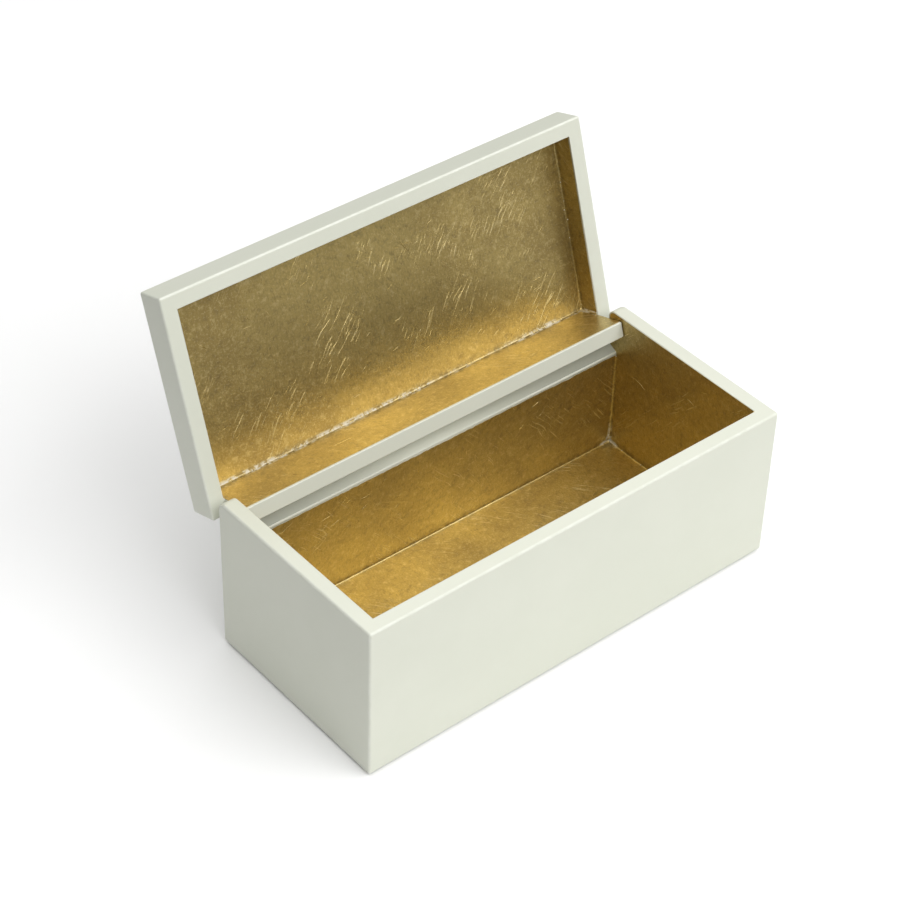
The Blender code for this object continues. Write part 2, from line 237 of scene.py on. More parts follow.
class Tree:
    """A node tree whose nodes are each made by one call."""

    def node(self, kind, settings=None, inputs=None, output=0):
        node = self.tree.nodes.new(kind)
        for key, value in (settings or {}).items():
            setattr(node, key, value)
        for key, value in (inputs or {}).items():
            self.feed(node.inputs[key], value)
        return Wire(self, node.outputs[output]) if node.outputs else node

    def feed(self, socket, value):
        if isinstance(value, Wire):
            self.tree.links.new(value.socket, socket)
        elif hasattr(socket.default_value, "__len__") and len(value) < len(socket.default_value):
            socket.default_value = (*value, 1.0)
        else:
            socket.default_value = value

    def number(self, operation, *values):
        return self.node("ShaderNodeMath", {"operation": operation}, dict(enumerate(values)))

    def vector(self, operation, *values, output=0):
        settings = {"operation": operation}
        return self.node("ShaderNodeVectorMath", settings, dict(enumerate(values)), output)

    def scaled(self, vector, scale):
        inputs = {0: vector, "Scale": scale}
        return self.node("ShaderNodeVectorMath", {"operation": "SCALE"}, inputs)

    def noise(self, place, scale, detail=3.0, roughness=0.5, output=0):
        inputs = {"Vector": place, "Scale": scale, "Detail": detail, "Roughness": roughness}
        return self.node("ShaderNodeTexNoise", None, inputs, output)

    def wander(self, place, scale, reach):
        """A vector that drifts over the surface, up to about reach long."""
        drift = self.noise(place, scale, detail=2.0, output="Color")
        return self.scaled(self.vector("SUBTRACT", drift, (0.5, 0.5, 0.5)), 2 * reach)


class Finish(Tree):
    """One material."""

    def __init__(self, name):
        self.material = bpy.data.materials.new(name)
        self.material.use_nodes = True
        self.tree = self.material.node_tree
        self.tree.nodes.clear()

    def mix(self, factor, first, second):
        inputs = {0: factor, 6: first, 7: second}
        return self.node("ShaderNodeMix", {"data_type": "RGBA"}, inputs, output=2)

    def object_place(self):
        return self.node("ShaderNodeTexCoord", output="Object")

    def stretched(self, place, turn, scale):
        """Turns the place, then stretches it, so that a pattern on it runs the way of the turn."""
        inputs = {"Vector": place, "Rotation": (0, 0, math.radians(turn))}
        return self.vector("MULTIPLY", self.node("ShaderNodeMapping", None, inputs), scale)

    def cells(self, place, scale, output=0):
        return self.node("ShaderNodeTexVoronoi", None, {"Vector": place, "Scale": scale}, output)

    def mark(self, attribute):
        return self.node("ShaderNodeAttribute", {"attribute_name": attribute}, output="Fac")

    def bump(self, height, distance, strength, under=None):
        inputs = {"Height": height, "Distance": distance, "Strength": strength}
        if under:
            inputs["Normal"] = under
        return self.node("ShaderNodeBump", None, inputs)

    def done(self, inputs):
        shader = self.node("ShaderNodeBsdfPrincipled", None, inputs)
        self.node("ShaderNodeOutputMaterial", None, {"Surface": shader})
        return self.material


class Grower(Tree):
    """One Geometry Nodes group."""

    def __init__(self, name, values):
        self.tree = bpy.data.node_groups.new(name, "GeometryNodeTree")
        sockets = self.tree.interface
        sockets.new_socket("Grown", in_out="OUTPUT", socket_type="NodeSocketGeometry")
        sockets.new_socket("Surface", in_out="INPUT", socket_type="NodeSocketGeometry")
        for label, value in values.items():
            kind = "NodeSocketInt" if isinstance(value, int) else "NodeSocketFloat"
            sockets.new_socket(label, in_out="INPUT", socket_type=kind)
        self.values = values
        self.source = self.tree.nodes.new("NodeGroupInput")

    def given(self, label):
        return Wire(self, self.source.outputs[label])

    def random(self, low, high, seed):
        inputs = {2: low, 3: high, "Seed": seed}
        return self.node("FunctionNodeRandomValue", {"data_type": "FLOAT"}, inputs, output=1)

    def random_vector(self, low, high, seed):
        inputs = {0: low, 1: high, "Seed": seed}
        return self.node("FunctionNodeRandomValue", {"data_type": "FLOAT_VECTOR"}, inputs)

    def other_output(self, wire, name):
        return Wire(self, wire.socket.node.outputs[name])

    def kept_vector(self, name):
        settings = {"data_type": "FLOAT_VECTOR"}
        return self.node("GeometryNodeInputNamedAttribute", settings, {"Name": name})

    def done(self, geometry, material):
        whole = self.node("GeometryNodeRealizeInstances", None, {"Geometry": geometry})
        inputs = {"Geometry": whole, "Material": material}
        finished = self.node("GeometryNodeSetMaterial", None, inputs)
        self.tree.links.new(finished.socket, self.tree.nodes.new("NodeGroupOutput").inputs["Grown"])

    def grow(self, obj):
        """Runs the group on an object's mesh, which becomes what has grown on it."""
        modifier = obj.modifiers.new("grow", "NODES")
        modifier.node_group = self.tree
        for label, value in self.values.items():
            modifier[self.tree.interface.items_tree[label].identifier] = value
        as_plain_mesh(obj)


# ------------------------ materials

SPECK_CELLS = 60
STEEL_DARK = (0.42, 0.41, 0.39)
STEEL_LIGHT = (0.66, 0.65, 0.63)
# Middle and fade of the floor's painted pool of light.
LIT_MIDDLE = (0.10, 0.14, 0)
LIT_FADE = 1.35


def lacquer_material(settings):
    """Sprayed satin lacquer: faint clouding, fine orange peel, a few specks, and arrises paler from
    rubbed wear and a painted highlight.
    """
    g = Finish("celadon_lacquer")
    place = g.object_place()
    clouds = g.noise(place, 24, detail=4, roughness=0.6)
    drift = g.noise(place, 7, detail=2)
    peel = g.noise(place, 850, detail=2, roughness=0.4)
    wave = g.noise(place, 70, detail=2)
    rub_breaks = g.noise(place, 130, detail=4, roughness=0.65).rise(0.38, 0.62)
    # Arris mask, broken up: partly rubbed wear, partly a painted highlight along the edges.
    rubbed = g.mark("arris") * (0.15 + 0.45 * rub_breaks)
    cell_colour = g.cells(place, SPECK_CELLS, output="Color")
    speck_pick = g.node("ShaderNodeSeparateColor", None, {"Color": cell_colour})
    speck = g.cells(place, SPECK_CELLS).rise(0.040, 0.020) * speck_pick.rise(0.975, 0.985)
    tint = g.mix(clouds.rise(0.30, 0.70) * 0.6, settings.colour, settings.cloud_colour)
    tint = g.mix(drift.rise(0.35, 0.75) * 0.4, tint, settings.cloud_colour)
    tint = g.mix(rubbed, tint, settings.rubbed_and_highlight_colour)
    tint = g.mix(speck * 0.7, tint, settings.speck_colour)
    rough = settings.roughness + 0.12 * (clouds - 0.5) + 0.08 * (peel - 0.5) - 0.06 * rubbed
    waves = g.bump(wave, 0.08 * MM, 0.5)
    return g.done({
        "Base Color": tint, "Roughness": rough, "Normal": g.bump(peel, 0.012 * MM, 0.6, waves),
        "IOR": 1.5, "Coat Weight": 0.12, "Coat Roughness": 0.28,
    })


def leaf_material(settings):
    """Metal leaf: burnishing strokes, swirls, thin patches, the crust left in its creases and
    painted shade in the creases and round the crust.
    """
    g = Finish("metal_leaf")
    place = g.node("ShaderNodeUVMap", {"uv_map": "leaf"})
    warped = g.vector("ADD", place, g.wander(place, 26, 5 * MM))
    patches = g.noise(place, 14, detail=5, roughness=0.6)
    blotch = g.noise(warped, 46, detail=5, roughness=0.65)
    grain = g.noise(place, 1100, detail=2, roughness=0.75)
    weave = g.noise(g.stretched(place, 4, (1500, 420, 900)), 1, detail=2, roughness=0.6)
    strokes = g.noise(g.stretched(warped, -35, (70, 900, 70)), 1, detail=4, roughness=0.62)
    cross_strokes = g.noise(g.stretched(warped, 50, (80, 1200, 80)), 1, detail=3, roughness=0.6)
    sharp_strokes = cross_strokes.rise(0.58, 0.66) * g.noise(place, 34, detail=2).rise(0.48, 0.60)
    swirl = g.number("PINGPONG", 44.0 * g.noise(place, 22, detail=1), 1.0).rise(0.45, 0.0)
    swirl = swirl * g.noise(warped, 26, detail=3).rise(0.55, 0.68)
    crease = g.mark("crease")
    crust_mark = g.mark("crust")
    broken = g.noise(place, 260, detail=4, roughness=0.7)
    mottle = g.noise(warped, 330, detail=4, roughness=0.75)
    drifts = g.noise(place, 45, detail=2).rise(0.38, 0.56)
    crust = crust_mark.rise(0.50, 1.0) * broken.rise(0.45, 0.56) * drifts
    # Painted shade: darkens the leaf round the crust and along the creases, broken up along them.
    shade_by_crust = crust_mark * broken.rise(0.50, 0.40)
    grime_and_crease_shade = 0.25 * shade_by_crust + 0.30 * (crease * broken.rise(0.55, 0.40))
    thin = patches.rise(0.38, 0.68)
    tone = g.mix(0.10 + 0.65 * thin, settings.bright, settings.dull)
    tone = g.mix(0.35 * blotch.rise(0.45, 0.72), tone, settings.bright)
    tone = g.mix(0.30 * strokes.rise(0.50, 0.76), tone, settings.dull)
    tone = g.mix(0.42 * weave.rise(0.46, 0.70), tone, settings.dull)
    tone = g.mix(0.25 * mottle.rise(0.48, 0.34), tone, settings.grime_and_crease_shade)
    tone = g.mix(0.34 * mottle.rise(0.53, 0.68), tone, settings.scuffed)
    scuffs = 0.34 * grain.rise(0.50, 0.72) + 0.70 * sharp_strokes + 0.14 * swirl
    tone = g.mix(scuffs, tone, settings.scuffed)
    # Paints the shade into the creases and round the crust.
    tone = g.mix(grime_and_crease_shade, tone, settings.grime_and_crease_shade)
    tone = g.mix(crust, tone, settings.crust)
    rough = settings.roughness + 0.18 * (blotch - 0.4) + 0.12 * thin
    rough = rough + 0.16 * (grain - 0.5) + 0.2 * crust
    hollows = g.bump(0.5 * blotch + 0.5 * patches, 0.50 * MM, 0.6)
    brushed = g.bump(0.5 * strokes + 0.3 * cross_strokes + 0.2 * weave, 0.12 * MM, 0.8, hollows)
    ridges = sharp_strokes + 0.35 * swirl + 1.5 * crust + 0.6 * mottle
    ridged = g.bump(ridges, 0.10 * MM, 0.9, brushed)
    return g.done({
        "Base Color": tone, "Metallic": 0.94 - 0.80 * crust, "Roughness": rough,
        "Normal": g.bump(grain, 0.07 * MM, 1.0, ridged),
        "Coat Weight": 0.35, "Coat Roughness": 0.35,
    })


def wrinkle_material(settings):
    """The ridge of a wrinkle: leaf rubbed bright on its crest."""
    g = Finish("wrinkled_leaf")
    place = g.object_place()
    rub = g.noise(place, 300, detail=3).rise(0.40, 0.65)
    tone = g.mix(rub, settings.bright, settings.scuffed)
    return g.done({
        "Base Color": tone, "Metallic": 0.95, "Roughness": 0.26 + 0.2 * rub,
        "Normal": g.bump(g.noise(place, 2400, detail=2), 0.02 * MM, 0.6),
    })


def fleck_material(settings):
    """Dried size and lacquer splashed into the corners."""
    g = Finish("dried_flecks")
    place = g.object_place()
    mottle = g.noise(place, 500, detail=3).rise(0.35, 0.65)
    tone = g.mix(mottle, settings.fleck_dark, settings.fleck_light)
    return g.done({
        "Base Color": tone, "Roughness": 0.35 + 0.2 * mottle, "Coat Weight": 0.3,
        "Normal": g.bump(g.noise(place, 1500, detail=2), 0.03 * MM, 0.6),
    })


def felt_material(settings):
    g = Finish("brown_felt")
    place = g.object_place()
    fibres = g.noise(place, 2600, detail=3, roughness=0.8)
    nap = g.noise(place, 140, detail=3)
    tone = g.mix(0.7 * fibres.rise(0.3, 0.75) + 0.3 * nap, settings.dark, settings.light)
    return g.done({
        "Base Color": tone, "Roughness": 0.90 + 0.08 * nap, "Normal": g.bump(fibres, 0.2 * MM, 0.9),
        "Sheen Weight": 0.3, "Sheen Roughness": 0.5,
    })


def steel_material():
    g = Finish("drawn_steel")
    place = g.object_place()
    drawn = g.noise(g.stretched(place, 0, (200, 4000, 4000)), 1, detail=2)
    tone = g.mix(drawn, STEEL_DARK, STEEL_LIGHT)
    return g.done({
        "Base Color": tone, "Metallic": 1.0, "Roughness": 0.24 + 0.2 * drawn,
        "Normal": g.bump(drawn, 0.02 * MM, 0.5),
    })


def floor_material(settings):
    """A painted pool of light: white near the box and painted grey further out, as light falls off
    on a table under a softbox.
    """
    g = Finish("floor_painted_light_pool")
    place = g.object_place()
    from_middle = g.vector("SUBTRACT", place, LIT_MIDDLE)
    away = g.vector("LENGTH", from_middle, output="Value")
    # Painted light falloff: the floor turns grey past the lit radius.
    far = away.rise(settings.lit_radius, LIT_FADE * settings.lit_radius)
    tone = g.mix(g.noise(place, 3, detail=2), settings.floor_shade, settings.floor_colour)
    tone = g.mix(far, tone, settings.painted_falloff_colour)
    return g.done({
        "Base Color": tone, "Roughness": 0.8, "Specular IOR Level": 0.2,
        "Normal": g.bump(g.noise(place, 900, detail=2), 0.02 * MM, 0.3),
    })


# ------------------------ mesh tools

FLAT_ANGLE = math.radians(0.5)
ARRIS_ANGLE = math.radians(30)
SHARP_ANGLE = math.radians(40)
SAME_WAY = 0.9999


def new_object(name, bm, material=None):
    mesh = bpy.data.meshes.new(name)
    bm.to_mesh(mesh)
    bm.free()
    if material:
        mesh.materials.append(material)
    obj = bpy.data.objects.new(name, mesh)
    bpy.context.scene.collection.objects.link(obj)
    return obj


def as_plain_mesh(obj):
    """Puts what the object's modifiers make into its mesh and takes them off."""
    graph = bpy.context.evaluated_depsgraph_get()
    mesh = bpy.data.meshes.new_from_object(obj.evaluated_get(graph), depsgraph=graph)
    old = obj.data
    obj.modifiers.clear()
    obj.data = mesh
    bpy.data.meshes.remove(old)
    mesh.name = obj.name


def block(low, high):
    bm = bmesh.new()
    bmesh.ops.create_cube(bm, size=1.0)
    for vert in bm.verts:
        vert.co = [high[axis] if vert.co[axis] > 0 else low[axis] for axis in range(3)]
    return bm


def drawn_out(outline, way):
    """A solid drawn from a flat outline along a vector."""
    bm = bmesh.new()
    face = bm.faces.new([bm.verts.new(point) for point in outline])
    drawn = bmesh.ops.extrude_face_region(bm, geom=[face])["geom"]
    moved = [item for item in drawn if isinstance(item, bmesh.types.BMVert)]
    bmesh.ops.translate(bm, vec=way, verts=moved)
    bmesh.ops.recalc_face_normals(bm, faces=bm.faces[:])
    return bm


def drawn_along_x(outline, x_low, x_high):
    """A solid drawn along X from (y, z) points."""
    return drawn_out([(x_low, y, z) for y, z in outline], (x_high - x_low, 0, 0))


def combine(obj, bm, operation):
    """Adds a solid to the object or takes it away."""
    tool = new_object(f"{obj.name}_tool", bm)
    modifier = obj.modifiers.new("combine", "BOOLEAN")
    modifier.operation = operation
    modifier.solver = "EXACT"
    modifier.object = tool
    as_plain_mesh(obj)
    mesh = tool.data
    bpy.data.objects.remove(tool)
    bpy.data.meshes.remove(mesh)


def middle(edge):
    return (edge.verts[0].co + edge.verts[1].co) / 2


def mark_points(obj, name, values):
    obj.data.attributes.new(name, "FLOAT", "POINT").data.foreach_set("value", values)


def round_arrises(obj, is_outer, settings):
    """Rounds every outward edge, the outer ones fully and the rest by a share, and marks them."""
    bm = bmesh.new()
    bm.from_mesh(obj.data)
    bmesh.ops.remove_doubles(bm, verts=bm.verts[:], dist=MM / 1000)
    bmesh.ops.dissolve_limit(bm, angle_limit=FLAT_ANGLE, verts=bm.verts[:], edges=bm.edges[:])
    weight = bm.edges.layers.float.new("bevel_weight_edge")
    for edge in bm.edges:
        if edge.calc_face_angle_signed() > ARRIS_ANGLE:
            edge[weight] = 1.0 if is_outer(edge) else settings.inner_share
    for face in bm.faces:
        face.smooth = True
    flat = [face.normal.copy() for face in bm.faces]
    bm.to_mesh(obj.data)
    bm.free()
    modifier = obj.modifiers.new("arris", "BEVEL")
    modifier.limit_method = "WEIGHT"
    modifier.width = settings.arris
    modifier.segments = 4
    modifier.harden_normals = True
    as_plain_mesh(obj)
    on_flat = set()
    for polygon in obj.data.polygons:
        if any(polygon.normal.dot(normal) > SAME_WAY for normal in flat):
            on_flat.update(polygon.vertices)
    mark_points(obj, "arris", [float(vert.index not in on_flat) for vert in obj.data.vertices])


def open_lid(obj):
    """Moves a piece that was drawn with the lid shut to where the open lid holds it."""
    obj.data.transform(OPEN)


# ------------------------ lacquer


def back_wall_top():
    """(y, z) of the front and rear edge of the back wall's sloping top."""
    points = [vert.co for vert in frame["nodes"]["base_back_wall"].data.vertices]
    front = max(point.z for point in points if point.y < INNER_BACK_Y + MM)
    return (INNER_BACK_Y, front), (OUTER_Y, BACK_HIGH.z)


def make_lacquered_base(settings, material):
    """Base walls and floor under one skin of lacquer."""
    whole = block((-OUTER_X, -OUTER_Y, FOOT_Z), (OUTER_X, OUTER_Y, RIM_Z))
    obj = new_object("lacquered_base", whole, material)
    above = RIM_Z + MM
    floor = FLOOR_Z - TOUCH
    inside = block((-INNER_X, INNER_FRONT_Y, floor), (INNER_X, INNER_BACK_Y, above))
    combine(obj, inside, "DIFFERENCE")
    front, rear = back_wall_top()
    slope = (rear[1] - front[1]) / (rear[0] - front[0])
    before = (front[0] - MM, front[1] - slope * MM)
    behind = (rear[0] + MM, rear[1] + slope * MM)
    over_wall = [before, behind, (behind[0], above), (before[0], above)]
    combine(obj, drawn_along_x(over_wall, -INNER_X, INNER_X), "DIFFERENCE")
    round_rear_corners(obj, settings.rear_corner)

    def is_outer(edge):
        place = middle(edge)
        return abs(place.x) > OUTER_X - TOUCH or place.y < TOUCH - OUTER_Y

    round_arrises(obj, is_outer, settings)
    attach(obj, "base")
    walls = ("base_front_wall", "base_back_wall", "base_left_end_wall", "base_right_end_wall")
    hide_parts(*walls, "base_floor_panel")


def round_rear_corners(obj, radius):
    """Rounds the two upper rear corners, as seen from the ends."""
    bm = bmesh.new()
    bm.from_mesh(obj.data)
    edges = [
        edge for edge in bm.edges
        if all(vert.co.y > OUTER_Y - TOUCH and vert.co.z > RIM_Z - TOUCH for vert in edge.verts)
    ]
    bmesh.ops.bevel(bm, geom=edges, offset=radius, segments=9, profile=0.5, affect="EDGES")
    bm.to_mesh(obj.data)
    bm.free()


def make_lacquered_lid(settings, material):
    """Lid panel, rails and deep hinge rail under one skin of lacquer."""
    high = (OUTER_X, OUTER_Y, PANEL_HIGH.z)
    obj = new_object("lacquered_lid", block((-OUTER_X, -OUTER_Y, LID_RIM_Z), high), material)
    tray_high = (INNER_X, RAIL_LOW.y, PANEL_LEAF_Z + TOUCH)
    combine(obj, block((-INNER_X, INNER_FRONT_Y, LID_RIM_Z - MM), tray_high), "DIFFERENCE")
    combine(obj, block(RAIL_LOW, (RAIL_HIGH.x, OUTER_Y, LID_RIM_Z + MM)), "UNION")

    def is_outer(edge):
        place = middle(edge)
        on_side = abs(place.x) > OUTER_X - TOUCH or abs(place.y) > OUTER_Y - TOUCH
        return on_side and place.z > RAIL_LOW.z + MM

    round_arrises(obj, is_outer, settings)
    open_lid(obj)
    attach(obj, "lid")
    rails = ("lid_front_rail", "lid_left_rail", "lid_right_rail", "lid_hinge_rail")
    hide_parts("lid_top_panel", *rails)


# ------------------------ metal leaf

CORNER_STEPS = 6
COVE_STEPS = 5
LEAF_STEP = 1.3 * MM
CREASE_REACH = 2.5 * MM
CORNER_SLACK = 0.2 * MM
CRUST_REACH = 5 * MM
CRUST_PEAK = 1.8
CHEEK_CORNER = 2.5 * MM
RAIL_END_LEAF = 2.5 * MM
AXIS_SHIFT = 0.3
SIDE_SHIFT = 0.15


def ring(low, high, corner, inset):
    """Points round a rectangle with round corners, and which of them are on a corner."""
    points = []
    on_corner = []
    radius = corner - inset
    centres = [
        (high[0] - corner, high[1] - corner), (low[0] + corner, high[1] - corner),
        (low[0] + corner, low[1] + corner), (high[0] - corner, low[1] + corner),
    ]
    for index, centre in enumerate(centres):
        for step in range(CORNER_STEPS + 1):
            angle = math.pi / 2 * (index + step / CORNER_STEPS)
            points.append(Vector(centre) + radius * Vector((math.cos(angle), math.sin(angle))))
            on_corner.append(True)
        start = points[-1]
        following = centres[(index + 1) % 4]
        angle = math.pi / 2 * (index + 1)
        end = Vector(following) + radius * Vector((math.cos(angle), math.sin(angle)))
        length = (Vector(following) - Vector(centre)).length
        count = round(length / LEAF_STEP)
        for step in range(1, count):
            points.append(start.lerp(end, step / count))
            on_corner.append(False)
    return points, on_corner


def leaf_skin(name, low, high, ground, up, edge_of, crust_of, settings, material):
    """A gilt lining for a tray: walls whose edge wanders, coved corners and a flat ground.

    ground is the flat part's height and up is 1 or -1 as the tray faces up or down. edge_of gives
    a wall point's leaf edge and how far it wanders, and crust_of how crusted a crease point is.
    """
    corner = settings.cove + CORNER_SLACK
    wall, on_corner = ring(low, high, corner, 0)
    cove_top = ground + up * settings.cove
    rings = []
    creases = []
    for share in (0.0, 0.5, 1.0):
        heights = []
        for index, point in enumerate(wall):
            wander = 0.6 * noise.noise((index / 5.5, ground * 999, 0))
            wander += 0.4 * noise.noise((index / 1.7, 3, 0))
            edge, reach = edge_of(point)
            edge -= up * reach * abs(wander)
            heights.append(edge + share * (cove_top + up * CREASE_REACH - edge))
        rings.append([(*point, height) for point, height in zip(wall, heights)])
        creases.append([float(corner_point) for corner_point in on_corner])
    for step in range(COVE_STEPS + 1):
        angle = math.pi / 2 * step / COVE_STEPS
        inset = settings.cove * (1 - math.cos(angle))
        height = ground + up * settings.cove * (1 - math.sin(angle))
        rings.append([(*point, height) for point in ring(low, high, corner, inset)[0]])
        creases.append([1.0] * len(wall))
    inner = [Vector(point[:2]) for point in rings[-1]]
    centre = (Vector(low) + Vector(high)) / 2
    half = (Vector(high) - Vector(low)) / 2
    shrink = Vector((1 - CREASE_REACH / half.x, 1 - CREASE_REACH / half.y))
    rings.append([(*(centre + (point - centre) * shrink), ground) for point in inner])
    creases.append([0.0] * len(wall))

    bm = bmesh.new()
    layers = [[bm.verts.new(point) for point in points] for points in rings]
    for upper, lower in zip(layers, layers[1:]):
        for index, vert in enumerate(upper):
            after = (index + 1) % len(upper)
            bm.faces.new((vert, lower[index], lower[after], upper[after]))
    bm.faces.new(layers[-1])
    bmesh.ops.recalc_face_normals(bm, faces=bm.faces[:])
    bm.faces.ensure_lookup_table()
    if bm.faces[-1].normal.z * up < 0:
        bmesh.ops.reverse_faces(bm, faces=bm.faces[:])
    for face in bm.faces:
        face.smooth = True
    obj = new_object(name, bm, material)
    creases = [crease for row in creases for crease in row]
    mark_points(obj, "crease", creases)
    crusts = [crease * crust_of(vertex.co) for crease, vertex in zip(creases, obj.data.vertices)]
    mark_points(obj, "crust", crusts)
    modifier = obj.modifiers.new("skin", "SOLIDIFY")
    modifier.thickness = settings.thickness
    modifier.offset = -1
    as_plain_mesh(obj)
    obj.data.set_sharp_from_angle(angle=SHARP_ANGLE)
    return obj


def lay_out_leaf(obj):
    """A UV map in metres, each face laid flat along its two axes and apart from the others."""
    uv = obj.data.uv_layers.new(name="leaf")
    for polygon in obj.data.polygons:
        axis = max(range(3), key=lambda number: abs(polygon.normal[number]))
        across, along = [number for number in range(3) if number != axis]
        side = AXIS_SHIFT * axis + (SIDE_SHIFT if polygon.normal[axis] > 0 else 0.0)
        for loop in polygon.loop_indices:
            place = obj.data.vertices[obj.data.loops[loop].vertex_index].co
            uv.data[loop].uv = (place[across] + side, place[along] + 2 * side)


def add_solid(obj, bm):
    """Joins a solid to the object's mesh, as it stands."""
    bm.from_mesh(obj.data)
    bm.to_mesh(obj.data)
    bm.free()


def add_cheeks(obj, settings):
    """Leaf on the end walls over the back wall, where the hinge rail swings."""
    (front_y, front_z), (rear_y, rear_z) = back_wall_top()
    radius = CHEEK_CORNER
    top = FRONT_LEAF_TOP + settings.edge_lift
    rear = rear_y - MM
    slope = (rear_z - front_z) / (rear_y - front_y)
    start = front_y - 2 * LEAF_STEP
    foot = BACK_LEAF_TOP - MM
    outline = [(start, foot), (front_y - TOUCH, foot), (front_y - TOUCH, front_z + TOUCH)]
    outline.append((rear, front_z + slope * (rear - front_y) + TOUCH))
    for step in range(CORNER_STEPS + 1):
        angle = math.pi / 2 * step / CORNER_STEPS
        y = rear - radius * (1 - math.cos(angle))
        outline.append((y, top - radius * (1 - math.sin(angle))))
    outline.append((start, top))
    face = INNER_X - settings.proud + TOUCH / 5
    for sign in (1, -1):
        sides = sorted((sign * face, sign * (face + settings.thickness)))
        add_solid(obj, drawn_along_x(outline, *sides))


def add_rail_ends(obj, settings):
    """Leaf on the hinge rail's two ends below the side rails."""
    face = RAIL_LOW.y - settings.proud + TOUCH / 5
    for sign in (1, -1):
        near, far = sorted((sign * (RAIL_HIGH.x - RAIL_END_LEAF), sign * (RAIL_HIGH.x - TOUCH)))
        low = (near, face, RAIL_LEAF_LOW)
        add_solid(obj, block(low, (far, face + settings.thickness, LID_LEAF_LOW - TOUCH)))


def make_base_leaf(settings, material):
    """Leaf on the floor and the inside of the four walls."""
    proud = settings.proud
    low = (proud - INNER_X, INNER_FRONT_Y + proud)
    high = (INNER_X - proud, INNER_BACK_Y - proud)
    crusted_corner = Vector((INNER_X, INNER_BACK_Y, FLOOR_Z))

    def edge_of(point):
        if point.y > high[1] - settings.cove:
            return BACK_LEAF_TOP, 1.5 * settings.ragged
        return FRONT_LEAF_TOP + settings.edge_lift, 0.3 * settings.ragged

    def crust_of(point):
        return min(1.0, max(0.0, CRUST_PEAK - (point - crusted_corner).length / CRUST_REACH))

    obj = leaf_skin("base_leaf", low, high, FLOOR_Z, 1, edge_of, crust_of, settings, material)
    add_cheeks(obj, settings)
    lay_out_leaf(obj)
    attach(obj, "base")
    faces = ("floor", "front", "back", "left", "right")
    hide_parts(*[f"base_{face}_gilt_lining" for face in faces])


def make_lid_leaf(settings, material):
    """Leaf on the panel and the inside of the four rails."""
    proud = settings.proud
    low = (proud - INNER_X, INNER_FRONT_Y + proud)
    high = (INNER_X - proud, RAIL_LOW.y - proud)

    def edge_of(point):
        if point.y > high[1] - TOUCH / 9 and abs(point.x) < RAIL_HIGH.x - MM:
            return RAIL_LEAF_LOW, 0.2 * settings.ragged
        return LID_LEAF_LOW, 0.6 * settings.ragged

    def crust_of(point):
        return float(point.y > high[1] - settings.cove - TOUCH)

    obj = leaf_skin("lid_leaf", low, high, PANEL_LEAF_Z, -1, edge_of, crust_of, settings, material)
    add_rail_ends(obj, settings)
    lay_out_leaf(obj)
    open_lid(obj)
    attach(obj, "lid")
    faces = ("top", "front", "left", "right", "hinge_rail")
    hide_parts(*[f"lid_{face}_gilt_lining" for face in faces])


# ------------------------ wrinkles and flecks

FIELD_MARGIN = 3 * MM
CORNER_INSET = 0.35 * MM
FLECK_REACH = 0.55 * MM
WRINKLE_POINTS = 9
WRINKLE_BEND = 3.2 * MM
WRINKLE_TIP = MM / 100
SWERVE = 9.0
WRINKLE_SEEDS = {"base": 3, "lid": 8}
CRACK_SEEDS = {"base": 5, "lid": 6}
FLECK_SEEDS = {"base": 4, "lid": 9}
TURN_SEED = 11
LENGTH_SEED = 12
PLACE_SEED = 21
SIZE_SEED = 22


def patch(bm, corner, across, along):
    """A rectangle that faces the way across turns to along."""
    corner, across, along = Vector(corner), Vector(across), Vector(along)
    points = (corner, corner + across, corner + across + along, corner + along)
    bm.faces.new([bm.verts.new(point) for point in points])


def base_field(name):
    """The base's gilt faces, a little in from their edges."""
    bm = bmesh.new()
    x = INNER_X - FIELD_MARGIN
    front, back = INNER_FRONT_Y + FIELD_MARGIN, INNER_BACK_Y - FIELD_MARGIN
    low = FLOOR_Z + FIELD_MARGIN
    tall = FRONT_LEAF_TOP - FIELD_MARGIN - low
    back_tall = BACK_LEAF_TOP - FIELD_MARGIN - low
    patch(bm, (-x, front, FLOOR_Z), (2 * x, 0, 0), (0, back - front, 0))
    patch(bm, (-x, INNER_BACK_Y - TOUCH, low), (2 * x, 0, 0), (0, 0, back_tall))
    patch(bm, (x, INNER_FRONT_Y + TOUCH, low), (-2 * x, 0, 0), (0, 0, tall))
    patch(bm, (INNER_X - TOUCH, back, low), (0, front - back, 0), (0, 0, tall))
    patch(bm, (TOUCH - INNER_X, front, low), (0, back - front, 0), (0, 0, tall))
    return new_object(name, bm)


def lid_field(name):
    """The lid's panel and hinge rail, a little in from their edges."""
    bm = bmesh.new()
    x = INNER_X - FIELD_MARGIN
    front, back = INNER_FRONT_Y + FIELD_MARGIN, RAIL_LOW.y - FIELD_MARGIN
    low = RAIL_LEAF_LOW + FIELD_MARGIN
    patch(bm, (-x, back, PANEL_LEAF_Z), (2 * x, 0, 0), (0, front - back, 0))
    rail_tall = PANEL_LEAF_Z - FIELD_MARGIN - low
    patch(bm, (-x, RAIL_LOW.y - TOUCH, low), (2 * x, 0, 0), (0, 0, rail_tall))
    return new_object(name, bm)


